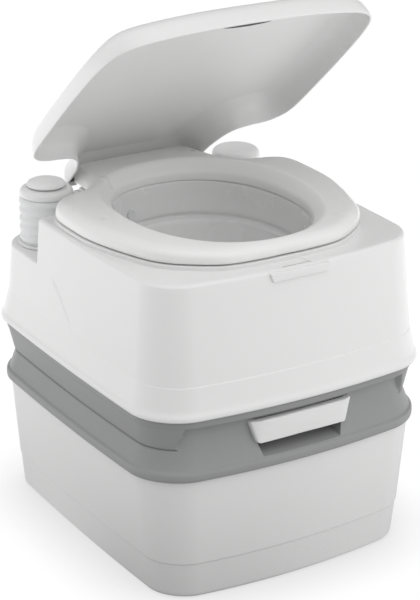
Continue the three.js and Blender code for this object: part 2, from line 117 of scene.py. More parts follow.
def catmull(half, n=400):
    """Closed smooth outline from its right half (front to rear), mirrored in x."""
    half = [(float(x), float(y)) for x, y in half]
    pts = half + [(-x, y) for x, y in half[::-1] if x > 1e-6]
    P = np.array(pts)
    m, out = len(P), []
    for i in range(m):
        p0, p1, p2, p3 = P[i - 1], P[i], P[(i + 1) % m], P[(i + 2) % m]
        t01, t12, t23 = (max(np.hypot(*(b - a)), 1e-6) ** 0.5 for a, b in ((p0, p1), (p1, p2), (p2, p3)))
        m1 = (p2 - p1) + t12 * ((p1 - p0) / t01 - (p2 - p0) / (t01 + t12))
        m2 = (p2 - p1) + t12 * ((p3 - p2) / t23 - (p3 - p1) / (t12 + t23))
        s = np.linspace(0, 1, 12, endpoint=False)[:, None]
        out.append((2 * s**3 - 3 * s**2 + 1) * p1 + (s**3 - 2 * s**2 + s) * m1 + (-2 * s**3 + 3 * s**2) * p2 + (s**3 - s**2) * m2)
    return np.vstack(out)


def oval(a, b, e=2.2, n=360, cy=0.0):
    t = np.linspace(0, TAU, n, endpoint=False)
    c, s = np.cos(t), np.sin(t)
    return np.stack([a * np.sign(c) * np.abs(c) ** (2 / e), cy + b * np.sign(s) * np.abs(s) ** (2 / e)], 1)


def angles(poly, step, fine=None, c=(0.0, 0.0)):
    """Angles at even steps along an outline; fine(x, y) gives a density factor."""
    p = dense(poly, 0.5)
    seg = np.hypot(*(np.roll(p, -1, axis=0) - p).T)
    w = seg * (fine(p[:, 0], p[:, 1]) if fine else 1.0)
    s = np.concatenate([[0], np.cumsum(w)])
    n = int(s[-1] / step)
    q = p - np.asarray(c)
    a = np.unwrap(np.arctan2(q[:, 1], q[:, 0]))
    a = np.append(a, a[0] + TAU * np.sign(a[-1] - a[0]))
    return np.interp(np.linspace(0, s[-1], n, endpoint=False), s, a)


def dist_to(poly, X, Y):
    """Distance from each point to an outline (always positive)."""
    p = dense(poly, 1.5)
    n = len(p)
    tree = KDTree(n)
    for i, (x, y) in enumerate(p.tolist()):
        tree.insert((x, y, 0.0), i)
    tree.balance()
    P = np.stack([np.ravel(X), np.ravel(Y)], 1)
    k = np.array([tree.find((x, y, 0.0))[1] for x, y in P.tolist()])
    best = np.full(len(P), 1e9)
    for i0, i1 in (((k - 1) % n, k), (k, (k + 1) % n)):
        a, b = p[i0], p[i1]
        ab = b - a
        t = np.clip(((P - a) * ab).sum(1) / (ab**2).sum(1), 0, 1)
        best = np.minimum(best, np.hypot(*(P - (a + t[:, None] * ab)).T))
    return best.reshape(np.shape(X))


# ------------------------------------------------------------------ mesh helpers
def make(name, verts_mm, faces, mat, body, replaces=(), sharp=38.0, fix=True):
    me = bpy.data.meshes.new(name)
    me.from_pydata((np.asarray(verts_mm, float) * 0.001).tolist(), [], faces)
    if fix:
        bm = bmesh.new()
        bm.from_mesh(me)
        bmesh.ops.recalc_face_normals(bm, faces=bm.faces)
        bm.to_mesh(me)
        bm.free()
    me.polygons.foreach_set("use_smooth", np.ones(len(me.polygons), bool))
    me.set_sharp_from_angle(angle=math.radians(sharp))
    ob = bpy.data.objects.new(name, me)
    bpy.context.scene.collection.objects.link(ob)
    me.materials.append(mat)
    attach(ob, body)
    if replaces:
        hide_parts(*replaces)
    return ob


def cut(ob, boxes, sharp=40.0):
    """Takes boxes (mm: x0, x1, y0, y1, z0, z1) or eight-cornered blocks out of a finished piece."""
    tools = []
    for box in boxes:
        if len(box) == 6:
            x0, x1, y0, y1, z0, z1 = box
            box = [(x, y, z) for z in (z0, z1) for x, y in ((x0, y0), (x1, y0), (x1, y1), (x0, y1))]
        v = [(x * 0.001, y * 0.001, z * 0.001) for x, y, z in box]
        me = bpy.data.meshes.new("tool")
        me.from_pydata(v, [], [(0, 3, 2, 1), (4, 5, 6, 7)] + [(i, (i + 1) % 4, 4 + (i + 1) % 4, 4 + i) for i in range(4)])
        tool = bpy.data.objects.new("tool", me)
        bpy.context.scene.collection.objects.link(tool)
        tools.append(tool)
        md = ob.modifiers.new("cut", "BOOLEAN")
        md.operation, md.solver, md.object = "DIFFERENCE", "EXACT", tool
    bpy.context.view_layer.update()
    new = bpy.data.meshes.new_from_object(ob.evaluated_get(bpy.context.evaluated_depsgraph_get()))
    ob.modifiers.clear()
    old, name = ob.data, ob.data.name
    ob.data = new
    bpy.data.meshes.remove(old)
    new.name = name
    for tool in tools:
        me = tool.data
        bpy.data.objects.remove(tool)
        bpy.data.meshes.remove(me)
    new.polygons.foreach_set("use_smooth", np.ones(len(new.polygons), bool))
    new.set_sharp_from_angle(angle=math.radians(sharp))


def grid(rows, loop=False, cap0=False, cap1=False):
    """Rows of N points each, joined by quads; loop joins the last row to the first, caps close an end on its centre."""
    rows = [np.asarray(r, float) for r in rows]
    n, m = len(rows[0]), len(rows)
    assert all(len(r) == n for r in rows)
    V = np.vstack(rows)
    i = np.arange(n)
    j = (i + 1) % n
    F = []
    pairs = [(k, k + 1) for k in range(m - 1)] + ([(m - 1, 0)] if loop else [])
    for a, b in pairs:
        F += np.stack([a * n + i, a * n + j, b * n + j, b * n + i], 1).tolist()
    extra = []
    for flag, k in ((cap0, 0), (cap1, m - 1)):
        if flag:
            extra.append(rows[k].mean(0))
            c = len(V) + len(extra) - 1
            F += [[k * n + a, k * n + b, c] for a, b in zip(i.tolist(), j.tolist())]
    if extra:
        V = np.vstack([V, extra])
    return V, F


def pol(th, r, z, c=(0.0, 0.0)):
    r = np.broadcast_to(r, th.shape)
    return np.stack([c[0] + r * np.cos(th), c[1] + r * np.sin(th), np.broadcast_to(z, th.shape)], 1)


def turned(name, prof, x, y, mat, body, replaces=(), n=96, sharp=38.0, flute=None):
    """Surface of revolution about a vertical axis; flute(theta, r, z) may change the radius."""
    th = np.linspace(0, TAU, n, endpoint=False)
    rows, cap0, cap1 = [], prof[0][0] == 0, prof[-1][0] == 0
    body_prof = [p for p in prof if p[0] > 0]
    for r, z in body_prof:
        rr = r if flute is None else flute(th, r, z)
        rows.append(pol(th, rr, z, (x, y)))
    V, F = grid(rows, loop=not (cap0 or cap1))
    V, F = V.tolist(), F
    for flag, k, z in ((cap0, 0, prof[0][1]), (cap1, len(rows) - 1, prof[-1][1])):
        if flag:
            V.append([x, y, z])
            c = len(V) - 1
            F += [[k * n + a, k * n + (a + 1) % n, c] for a in range(n)]
    return make(name, V, F, mat, body, replaces, sharp)


def arc(cx, cz, r, a0, a1, n=6):
    return [(cx + r * math.cos(math.radians(a0 + (a1 - a0) * i / n)), cz + r * math.sin(math.radians(a0 + (a1 - a0) * i / n))) for i in range(n + 1)]


# ------------------------------------------------------------------ materials
def plastic(name, base, rough=0.36, grain=0.05, grain_scale=900.0, mottle=0.012, wear=0.05, coat=0.0, sss=0.0, metal=0.0, dirt=0.0, spec=0.5):
    """Moulded plastic: slight colour drift, fine moulded grain in bump and gloss, edges polished lighter by handling."""
    m = bpy.data.materials.new(name)
    m.use_nodes = True
    nt = m.node_tree
    nt.nodes.clear()
    N, L = nt.nodes.new, nt.links.new
    out, bs = N("ShaderNodeOutputMaterial"), N("ShaderNodeBsdfPrincipled")
    L(bs.outputs[0], out.inputs[0])
    co = N("ShaderNodeTexCoord")
    # broad drift of the moulding
    n1 = N("ShaderNodeTexNoise"); n1.inputs["Scale"].default_value = 7.0; n1.inputs["Detail"].default_value = 3.0
    L(co.outputs["Object"], n1.inputs["Vector"])
    # fine pigment speckle
    n2 = N("ShaderNodeTexNoise"); n2.inputs["Scale"].default_value = 260.0; n2.inputs["Detail"].default_value = 4.0
    L(co.outputs["Object"], n2.inputs["Vector"])
    add = N("ShaderNodeMath"); add.operation = "MULTIPLY_ADD"; add.inputs[1].default_value = 0.35
    L(n2.outputs["Fac"], add.inputs[0]); L(n1.outputs["Fac"], add.inputs[2])
    rng = N("ShaderNodeMapRange"); rng.inputs["From Min"].default_value = 0.35; rng.inputs["From Max"].default_value = 1.0
    rng.inputs["To Min"].default_value = 1.0 - mottle; rng.inputs["To Max"].default_value = 1.0 + mottle
    L(add.outputs[0], rng.inputs["Value"])
    col = N("ShaderNodeMix"); col.data_type = "RGBA"; col.blend_type = "MULTIPLY"; col.inputs[0].default_value = 1.0
    col.inputs[6].default_value = (*base, 1)
    L(rng.outputs[0], col.inputs[7])
    # worn, slightly lighter convex edges from a rounded-normal comparison
    geo, bev = N("ShaderNodeNewGeometry"), N("ShaderNodeBevel")
    bev.samples = 4; bev.inputs["Radius"].default_value = 0.0016
    dot = N("ShaderNodeVectorMath"); dot.operation = "DOT_PRODUCT"
    L(geo.outputs["Normal"], dot.inputs[0]); L(bev.outputs["Normal"], dot.inputs[1])
    edge = N("ShaderNodeMapRange"); edge.inputs["From Min"].default_value = 0.995; edge.inputs["From Max"].default_value = 0.86
    edge.inputs["To Min"].default_value = 0.0; edge.inputs["To Max"].default_value = wear
    L(dot.outputs["Value"], edge.inputs["Value"])
    lift = N("ShaderNodeMix"); lift.data_type = "RGBA"; lift.blend_type = "MIX"
    lift.inputs[7].default_value = (*[min(1.0, c * 1.25 + 0.04) for c in base], 1)
    L(edge.outputs[0], lift.inputs[0]); L(col.outputs[2], lift.inputs[6])
    L(lift.outputs[2], bs.inputs["Base Color"])
    # gloss varies with the grain and with handling
    n3 = N("ShaderNodeTexNoise"); n3.inputs["Scale"].default_value = 22.0; n3.inputs["Detail"].default_value = 6.0
    L(co.outputs["Object"], n3.inputs["Vector"])
    rr = N("ShaderNodeMapRange"); rr.inputs["To Min"].default_value = rough - 0.035; rr.inputs["To Max"].default_value = rough + 0.05
    L(n3.outputs["Fac"], rr.inputs["Value"]); L(rr.outputs[0], bs.inputs["Roughness"])
    # moulded grain
    vor = N("ShaderNodeTexVoronoi"); vor.inputs["Scale"].default_value = grain_scale
    L(co.outputs["Object"], vor.inputs["Vector"])
    n4 = N("ShaderNodeTexNoise"); n4.inputs["Scale"].default_value = grain_scale * 1.7; n4.inputs["Detail"].default_value = 2.0
    L(co.outputs["Object"], n4.inputs["Vector"])
    ad2 = N("ShaderNodeMath"); ad2.operation = "ADD"
    L(vor.outputs["Distance"], ad2.inputs[0]); L(n4.outputs["Fac"], ad2.inputs[1])
    bp = N("ShaderNodeBump"); bp.inputs["Strength"].default_value = grain; bp.inputs["Distance"].default_value = 0.0004
    L(ad2.outputs[0], bp.inputs["Height"]); L(bp.outputs[0], bs.inputs["Normal"])
    bs.inputs["Metallic"].default_value = metal
    bs.inputs["Specular IOR Level"].default_value = spec
    bs.inputs["Coat Weight"].default_value = coat
    bs.inputs["Coat Roughness"].default_value = 0.25
    bs.inputs["Subsurface Weight"].default_value = sss
    bs.inputs["Subsurface Radius"].default_value = (0.004, 0.004, 0.004)
    return m


def steel(name, base=(0.56, 0.57, 0.58), rough=0.28):
    m = plastic(name, base, rough=rough, grain=0.08, grain_scale=1500.0, mottle=0.05, wear=0.2, metal=1.0)
    return m


M_SHELL = plastic("moulded_white", (0.80, 0.80, 0.797), rough=0.34, grain=0.035, mottle=0.010, wear=0.35, coat=0.08)
# seat and bowl base colours are lifted (seat 5 %, bowl 3 %) to brighten parts lit too dimly, the seat under the open
# lid: painted light; gloss and coat are their real finish
M_SEAT = plastic("polished_white_painted_light", (0.835, 0.835, 0.83), rough=0.28, grain=0.02, mottle=0.008, wear=0.3, coat=0.15)
M_BOWL = plastic("bowl_white_painted_light", (0.77, 0.77, 0.768), rough=0.26, grain=0.015, mottle=0.012, wear=0.2, coat=0.15)
M_INNER = plastic("natural_white", (0.72, 0.725, 0.73), rough=0.45, grain=0.06, mottle=0.02, wear=0.25)
M_SOFT = plastic("soft_white", (0.77, 0.775, 0.78), rough=0.52, grain=0.08, grain_scale=700.0, mottle=0.012, wear=0.2)
M_GREY = plastic("grained_grey", (0.30, 0.302, 0.305), rough=0.46, grain=0.12, grain_scale=800.0, mottle=0.02, wear=0.22)
M_DARK = plastic("grained_dark", (0.055, 0.057, 0.06), rough=0.5, grain=0.12, grain_scale=800.0, mottle=0.05, wear=0.12)
M_RUBBER = plastic("black_rubber", (0.018, 0.018, 0.019), rough=0.72, grain=0.2, grain_scale=500.0, mottle=0.10, wear=0.06, spec=0.3)
M_STEEL = steel("plated_steel")

SLOT_MAT = {"shell_white": M_SHELL, "inner_white": M_INNER, "bellows_soft": M_SOFT, "collar_grey": M_GREY, "dark_plastic": M_DARK,
            "rubber_black": M_RUBBER, "steel": M_STEEL}

# ------------------------------------------------------------------ shared sizes (mm)
SHELF_Z, STEP_Z, DECK_Z, PLINTH_Z = 323.0, 351.0, 378.0, 381.5
NECK, NOTCH_Y, NOTCH_R, HOLE_Y = 94.0, 90.0, 22.0, -9.0
HY, HZ, OPEN = 175.0, 386.0, 41.5
PX, PY, FX, FY = -133.0, 149.0, 133.0, 149.0
SEAT_HALF = [(0, -167), (32, -167), (76, -161), (111, -140), (127, -126), (140, -108), (150, -83), (160, -50), (167, -15), (168, 20), (166.5, 56), (162, 70.5),
             (153.5, 81), (140, 88.5), (122, 93), (109, 98), (100, 106.5), (93, 119), (88.5, 135), (86, 150), (84, 168), (83, 177), (76, 182.6), (60, 183.5), (30, 183.5), (0, 183.5)]
LID_HALF = [(0, -376.5), (60, -375), (88, -372), (118, -367), (143, -360), (160, -349.5), (169.5, -335), (174.5, -316), (178, -287), (180.3, -238), (180.6, -190), (180.2, -145), (178.6, -115), (174, -99.5),
            (163, -87), (149, -81), (132, -79), (115, -74), (105, -64), (98, -48), (94, -32), (92.3, -10), (92, 6), (88.5, 12.5), (80, 14.8), (40, 15), (0, 15)]
seat_line, lid_line = catmull(SEAT_HALF), catmull(LID_HALF)

# ------------------------------------------------------------------ flush tank shell
TK = np.array([  # z, half width, front, rear, corner radius
    (226.0, 191.5, -213.5, 213.5, 53), (231.0, 191.5, -213.5, 213.5, 53), (232.8, 191.0, -213.0, 213.0, 53), (234.6, 190.0, -212.0, 211.9, 52.5), (236.8, 189.0, -211.0, 210.8, 52),
    (240.0, 188.1, -210.1, 209.8, 51.5), (264.0, 183.2, -205.2, 203.8, 48.2), (300, 181.0, -201.6, 200.1, 46), (340, 178.4, -197.5, 196.0, 43.5), (378, 175.6, -193.4, 192.2, 40)])


def step_fade(th):
    return 1 - 0.85 * smooth(-178, -110, 190 * np.sin(th))


def tank_r(z, th, d=0.0):
    hw, yf, yr, r = (np.interp(z, TK[:, 0], TK[:, k]) for k in (1, 2, 3, 4))
    ledge = 0.95 * (1 - smooth(263.5, 264.3, z)) * (math.exp(-(264 - z) / 13.0) if z > 226 and z < 264.5 else 0.0)
    return ray(section(hw - d, yf + d, yr - d, max(r - d, 8)), th) + ledge * step_fade(th)


def notch_r(th, d=0.0):
    """Distance to the nearer shelf notch (rounded inner corner); d grows the notch."""
    a = math.pi + np.linspace(0, 0.5, 24) * math.pi
    c = np.stack([NECK + NOTCH_R + (NOTCH_R + d) * np.cos(a), NOTCH_Y + NOTCH_R + (NOTCH_R + d) * np.sin(a)], 1)
    up_, out_ = np.linspace(900, c[0, 1], 900)[:-1], np.linspace(c[-1, 0], 900, 900)[1:]
    line = np.vstack([np.stack([np.full_like(up_, c[0, 0]), up_], 1), c, np.stack([out_, np.full_like(out_, c[-1, 1])], 1)])
    an, rr = np.arctan2(line[:, 1], line[:, 0]), np.hypot(line[:, 0], line[:, 1])
    o = np.argsort(an)
    t = np.where(np.cos(th) < 0, math.pi - (th % TAU), th % TAU)
    t = np.where((t > -math.pi / 2) & (t <= math.pi), t, t % TAU)
    out = np.interp(t, an[o], rr[o], left=5e3, right=5e3)
    return out


def fine_tank(x, y):
    f = np.ones_like(x)
    f += 1.5 * np.exp(-((y - 90) / 14.0) ** 2) + 1.5 * np.exp(-((np.abs(x) - 94) / 14.0) ** 2) * (y > 0)
    f += 4.0 * np.exp(-((np.abs(x) - 17.5) / 2.2) ** 2) * (y < 0) + 0.7 * (x < -150) * smooth(-40, -20, y) * (1 - smooth(70, 85, y))
    return f


th = angles(section(175.6, -193.4, 192.2, 40), 1.7, fine_tank)
AR = notch_r(th)
step_r = np.where(np.sin(th) > 0.2, 158.0 / np.maximum(np.sin(th), 0.2), 5e3)
plinth = ray(seat_line, th) + 1.4
hole_th = ray(oval(114, 134, cy=HOLE_Y), th)


def tank_row(z, stage, d=0.0):
    """stage 0 full outline, 1 with the shelf notches, 2 with the rear step as well."""
    r = tank_r(z, th, d)
    if stage >= 1:
        r = smin(r, notch_r(th, d) if d else AR, 5.0)
    if stage >= 2:
        r = smin(r, step_r - d, 5.0)
    return r


rows = []
lip = 2.6
for a in np.linspace(-90, 0, 6):
    rows.append(pol(th, tank_row(229, 0) - lip * (1 - math.cos(math.radians(a))), 226.2 + lip + lip * math.sin(math.radians(a))))
CREASE = np.array([(68.0, 326.0), (65, 323), (48, 319), (24, 300), (1, 278), (-13, 261)])
def pressed(P):
    """Fine diagonal crease moulded into the left wall, running down and forward from the pump shelf."""
    q = P[:, 1:3]
    d = np.full(len(P), 1e9)
    for a, b in zip(CREASE[:-1], CREASE[1:]):
        ab = b - a
        t = np.clip(((q - a) @ ab) / (ab @ ab), 0, 1)
        d = np.minimum(d, np.hypot(*(q - (a + t[:, None] * ab)).T))
    out = P.copy()
    out[:, 0] += (P[:, 0] < -120) * 1.15 * np.exp(-(d / 1.5) ** 2) * smooth(259, 290, P[:, 2])
    return out
for z in np.concatenate([[230, 231.2, 232.2, 233.2, 234.2, 235.2, 236.2, 237.4, 238.8, 240.4, 243, 247, 252, 257, 260.5, 262.4, 263.2, 263.5, 263.8, 264.1, 264.4, 264.8, 265.6], np.arange(267.5, 319.5, 2.0)]):
    rows.append(pressed(pol(th, tank_row(z, 0), z)))
crease_rows = (len(rows) - 9, len(rows))
A, B = tank_row(SHELF_Z, 0), tank_row(SHELF_Z, 1)
w = smooth(0.5, 6.0, A - B)
R = 2.8
for a in np.linspace(0, 90, 6):
    s_, c_ = math.sin(math.radians(a)), math.cos(math.radians(a))
    rows.append(pol(th, tank_row(SHELF_Z - R + R * s_, 0) - w * R * (1 - c_), SHELF_Z - R + R * s_))
for i, t in enumerate((0.06, 0.2, 0.35, 0.5, 0.65, 0.8, 0.94)):
    rows.append(pol(th, (A - w * R) * (1 - t) + (B + w * 2.2) * t, SHELF_Z + 0.03 * (i + 1)))
for a in np.linspace(15, 90, 5):
    s_, c_ = math.sin(math.radians(a)), math.cos(math.radians(a))
    z = SHELF_Z + 0.3 + 2.2 * (1 - c_)
    rows.append(pol(th, tank_row(z, 1) + w * 2.2 * (1 - s_), z))
for z in (327, 330, 334, 338, 342, 345.5):
    rows.append(pol(th, tank_row(z, 1), z))
B2, C2 = tank_row(STEP_Z, 1), tank_row(STEP_Z, 2)
w2 = smooth(0.5, 6.0, B2 - C2)
for a in np.linspace(0, 90, 5):
    s_, c_ = math.sin(math.radians(a)), math.cos(math.radians(a))
    z = STEP_Z - R + R * s_
    rows.append(pol(th, tank_row(z, 1) - w2 * R * (1 - c_), z))
for i, t in enumerate((0.1, 0.35, 0.65, 0.9)):
    rows.append(pol(th, (B2 - w2 * R) * (1 - t) + (C2 + w2 * 2.2) * t, STEP_Z + 0.03 * (i + 1)))
for a in np.linspace(20, 90, 4):
    s_, c_ = math.sin(math.radians(a)), math.cos(math.radians(a))
    z = STEP_Z + 0.2 + 2.2 * (1 - c_)
    rows.append(pol(th, tank_row(z, 2) + w2 * 2.2 * (1 - s_), z))
for z in (356, 360, 365, 369, 372):
    rows.append(pol(th, tank_row(z, 2), z))
top = tank_row(DECK_Z, 2)
R = 4.6 - 2.4 * smooth(0.5, 6.0, tank_row(DECK_Z, 0) - top)
for a in np.linspace(0, 90, 10):
    s_, c_ = math.sin(math.radians(a)), math.cos(math.radians(a))
    rows.append(pol(th, tank_row(DECK_Z - 2.3, 2) - 0.1 * s_ - R * (1 - c_), DECK_Z - R + R * s_))
pl = np.minimum(plinth, top - R - 1.6)
def clip_slot(P):
    """Small rectangular pocket in the front of the deck, against the foot of the seat land."""
    m = (1 - smooth(16.9, 18.1, np.abs(P[:, 0]))) * smooth(-184.0, -182.9, P[:, 1]) * (P[:, 1] < 0)
    out = P.copy()
    out[:, 2] -= 1.0 * m
    return out
for t in (0.03, 0.07, 0.11, 0.16, 0.22, 0.35, 0.5, 0.65, 0.8, 0.9, 0.96):
    rows.append(clip_slot(pol(th, (top - R) * (1 - t) + (pl + 1.0) * t, DECK_Z - 1.5 * smooth(0.02, 0.85, t))))
for a in np.linspace(0, 90, 4):
    s_, c_ = math.sin(math.radians(a)), math.cos(math.radians(a))
    P = pol(th, pl + 1.0 * (1 - s_), DECK_Z - 1.5 + 1.0 * (1 - c_))
    rows.append(clip_slot(P))
for a in np.linspace(0, 90, 5):
    s_, c_ = math.sin(math.radians(a)), math.cos(math.radians(a))
    rows.append(pol(th, pl - 0.9 * (1 - c_), PLINTH_Z - 0.9 + 0.9 * s_))
hl = np.minimum(hole_th, pl - 5)
for t in (0.3, 0.7, 1.0):
    rows.append(pol(th, (pl - 0.9) * (1 - t) + hl * t, PLINTH_Z))
rows.append(pol(th, hl, DECK_Z - 3.2))
inner_top = tank_row(DECK_Z - 5.0, 2, 3.2)
rows[-1] = pol(th, hl, DECK_Z - 5.0)
rows.append(pol(th, np.maximum(inner_top - 3, hl + 0.5), DECK_Z - 5.0))
for z in (371, 361, STEP_Z + 1):
    rows.append(pol(th, np.maximum(tank_row(z, 2, 3.0), hl + 0.6), z))
for z in (STEP_Z - 3.1, 340, SHELF_Z + 1):
    rows.append(pol(th, np.maximum(tank_row(z, 1, 3.0), hl + 0.6), z))
for z in (SHELF_Z - 3.1, 300, 265, 246, 240, 234, 227.5):
    rows.append(pol(th, tank_row(z, 0, 3.0), z))
V, F = grid(rows, loop=True)
# shallow diagonal step pressed into the left wall
tank_ob = make("flush_tank_shell", V, F, M_SHELL, "flush_section", ("flush_tank",), sharp=50)
cut(tank_ob, [(-18.5, 18.5, -188.6, -185.8, 374.6, 384.0)], 50)  # clip slot behind the lid catch

# ------------------------------------------------------------------ bowl
tb = np.linspace(0, TAU, 220, endpoint=False)
BI = np.array([(228.8, 50, 50, 0), (236, 51, 51, 0), (246, 55, 56, -0.5), (262, 66, 72, -3), (280, 79, 90, -5.5), (300, 92, 107, -8), (318, 98.6, 115.5, -9.3), (331.5, 102.8, 121.0, -10)])
BW = np.array([(336.6, 106.4, 125.2, -10), (345, 106.8, 126.2, -9.8), (362, 107.3, 128.6, -9.3), (376, 107.5, 130.2, HOLE_Y), (378.3, 108.2, 130.9, HOLE_Y), (380, 110.1, 132.0, HOLE_Y)])
def bowl_line(tab, z, g=0.0):
    a, b, c = (pchip(tab[:, 0], tab[:, k], z) for k in (1, 2, 3))
    return ray(oval(float(a) + g, float(b) + g, cy=float(c)), tb)
rows = []
for z in np.concatenate([np.linspace(228.8, 320, 26), np.linspace(322, 329.5, 4)]):
    rows.append(pol(tb, bowl_line(BI, z), z))
rw = bowl_line(BW, 341.0)
for z, o in ((331.0, -4.6), (332.4, -3.9), (333.3, -2.8), (333.7, -1.6), (333.9, -0.4), (334.3, 0.8), (335.2, 2.0), (336.6, 2.5), (338.0, 2.1), (339.2, 1.0), (340.2, 0.25)):
    rows.append(pol(tb, rw + o, z))
for z in [341, 344.5, 348, 352, 356, 360, 364, 368, 372, 375, 377, 378.2, 379.2]:
    rows.append(pol(tb, bowl_line(BW, z), z))
rt = ray(oval(111.8, 133.7, cy=HOLE_Y), tb)
for a in np.linspace(180, 0, 7):
    rows.append(pol(tb, rt + 1.5 * math.cos(math.radians(a)), 379.8 + 1.5 * math.sin(math.radians(a))))
for z in np.linspace(376, 350, 5):
    rows.append(pol(tb, bowl_line(BW, z, 4.4 + 1.0 * (z > 370)), z))
for z in (345, 336, 331):
    rows.append(pol(tb, rw + 4.6, z))
for z in np.linspace(326, 229, 14):
    rows.append(pol(tb, bowl_line(BI, z, 3.0), z))
rows.append(pol(tb, bowl_line(BI, 228.8, 3.0), 228.8))
V, F = grid(rows, loop=True)
make("bowl_shell", V, F, M_BOWL, "flush_section", ("bowl",), sharp=50)

# ------------------------------------------------------------------ seat
ts = angles(seat_line, 1.6)
ro = ray(seat_line, ts)
rh = ray(oval(107, 130, 2.2, cy=HOLE_Y), ts)
seat_hole = oval(107, 130, 2.2, cy=HOLE_Y)
FO = ([0, 0.2, 0.7, 1.6, 3.0, 5, 7.5, 10.5, 14, 19, 60], [386.5, 389.6, 392.2, 394.6, 396.9, 399.0, 400.8, 402.2, 403.0, 403.4, 403.4])
FI = ([0, 0.3, 1.0, 2.4, 4.6, 7.5, 10.3, 12.6, 14.4, 16.2, 18.5, 60], [386.0, 388.0, 389.8, 391.8, 394.2, 397.2, 399.9, 401.8, 402.8, 403.3, 403.4, 403.4])
wid = ro - rh
sp = np.array([0, 0.15, 0.4, 0.8, 1.4, 2.2, 3.2, 4.6, 6.4, 8.2, 9.8, 11.2, 12.4, 13.6, 14.8, 16])
rows = [pol(ts, ro - 6.0, 382.3), pol(ts, ro - 3.2, 382.4), pol(ts, ro - 2.0, 383.0), pol(ts, ro - 1.0, 383.7), pol(ts, ro - 0.3, 384.1), pol(ts, ro, 385.0)]
half = np.minimum(wid / 2 - 1.0, 19.0)
mid0, mid1 = ro - half, rh + half
top_rows = [ro - half * (d / 16.0) for d in sp]
top_rows += [mid0 * (1 - t) + mid1 * t for t in (0.2, 0.4, 0.6, 0.8)]
top_rows += [rh + half * (d / 16.0) for d in sp[::-1]]
for r in top_rows:
    X, Y = r * np.cos(ts), r * np.sin(ts)
    do, dh = dist_to(seat_line, X, Y), dist_to(seat_hole, X, Y)
    z = smin(pchip(*FO, do), pchip(*FI, dh), 2.4) + 0.6
    z = z + (z - 386.5) / 17.0 * (0.014 * np.clip(Y + 20, 0, 90) + 0.034 * np.clip(Y + 20, -160, 0)) - 1.6 * smooth(128, 178, Y)
    z = z + 1.8 * np.exp(-((Y - 176.0) / 2.2) ** 2) * (1 - smooth(62, 70, np.abs(X)))
    rows.append(np.stack([X, Y, z], 1))
rows += [pol(ts, rh, 384.0), pol(ts, rh, 381.2), pol(ts, rh + 0.15, 380.5), pol(ts, rh + 0.6, 380.1), pol(ts, rh + 1.2, 380.0), pol(ts, rh + 1.8, 380.2), pol(ts, rh + 2.2, 381.0), pol(ts, rh + 2.6, 382.2), pol(ts, rh + 6, 382.3)]
V, F = grid(rows, loop=True)
seat_ob = make("seat_ring", V, F, M_SEAT, "seat", ("seat",), sharp=50)
cut(seat_ob, [(-73.5, -58.5, 149, 200, 370, 395.5), (58.5, 73.5, 149, 200, 370, 395.5)], 50)

# ------------------------------------------------------------------ lid
LC = np.array([0.0, -185.0])
def lid_fine(x, y):
    return 1.0 + 1.6 * np.exp(-((np.abs(x) - 120) / 40.0) ** 2) * (y < -330) * 0.3 + 2.5 * np.exp(-((np.abs(x) - 66) / 12.0) ** 2) * (y > 0)
tl = angles(lid_line, 1.7, lid_fine, LC)
rl = ray(lid_line, tl, LC)
LO = ([0, 0.35, 1.0, 2.0, 3.0, 4.2, 6.0, 8.5, 12, 17, 24, 34, 60, 200], [-3.0, 1.0, 4.2, 8.0, 11.2, 14.2, 17.4, 20.5, 23.5, 26.2, 28.1, 29.0, 29.6, 30.0])
LI = ([2.9, 3.3, 4.0, 5.0, 6.2, 8.0, 10.5, 14, 19, 23.5, 26.0, 27.0, 60, 200], [-3.0, 1.0, 4.4, 7.6, 10.6, 13.8, 16.8, 19.8, 22.8, 24.9, 25.9, 26.2, 26.6, 27.0])
def lid_row(r, table, dz=0.0):
    X, Y = LC[0] + r * np.cos(tl), LC[1] + r * np.sin(tl)
    d = dist_to(lid_line, X, Y)
    z = pchip(*table, d) + dz
    return X, Y, z
def slots(X, Y, z):
    k = smooth(57.5, 59, np.abs(X)) * (1 - smooth(73, 74.5, np.abs(X))) * (Y > 7)
    return np.maximum(z, -4 + 17.5 * k)
rows = []
ins = [0, 0.12, 0.3, 0.6, 1.0, 1.5, 2.2, 3.0, 4.0, 5.2, 7, 9.5, 13, 18, 25, 34]
# radial steps are measured along each ray so that the true edge distance grows evenly
cosn = None
def by_depth(dd):
    """Radius on each ray at which the distance to the lid outline is dd."""
    return np.array([np.interp(dd, DD[i], RR[i]) for i in range(len(tl))])
probe = np.concatenate([np.linspace(0, 12, 25), np.linspace(14, 70, 29)])
RR = rl[:, None] - probe[None, :] * np.minimum(1.0, (rl[:, None] - 12) / 70.0)
DX, DY = LC[0] + RR * np.cos(tl)[:, None], LC[1] + RR * np.sin(tl)[:, None]
DD = np.maximum.accumulate(dist_to(lid_line, DX, DY), axis=1)
inner_rows = []
rim = [(2.9, -3.0), (2.7, -3.7), (2.2, -4.0), (0.9, -4.0), (0.25, -3.8), (0.0, -3.0)]
for d in [3.3, 4.0, 5.0, 6.2, 8.0, 10.5, 14, 18, 21.5, 24.0, 25.6, 26.4, 27.2, 28.5, 34][::-1]:
    X, Y, z = lid_row(by_depth(d), LI)
    inner_rows.append(np.stack([X, Y, slots(X, Y, z)], 1))
r34 = by_depth(34)
cen_in = []
for t in (0.04, 0.15, 0.3, 0.45, 0.6, 0.75, 0.9):
    X, Y, z = lid_row(r34 * t, LI)
    cen_in.append(np.stack([X, Y, z], 1))
rows = cen_in + inner_rows
for d, zz in rim:
    r = by_depth(d) if d > 0 else rl
    X, Y = LC[0] + r * np.cos(tl), LC[1] + r * np.sin(tl)
    rows.append(np.stack([X, Y, slots(X, Y, np.full_like(X, zz))], 1))
for d in ins[1:]:
    X, Y, z = lid_row(by_depth(d), LO)
    rows.append(np.stack([X, Y, slots(X, Y, z)], 1))
for t in (0.9, 0.75, 0.6, 0.45, 0.3, 0.15, 0.04):
    X, Y, z = lid_row(r34 * t, LO)
    rows.append(np.stack([X, Y, z], 1))
V, F = grid(rows, cap0=True, cap1=True)
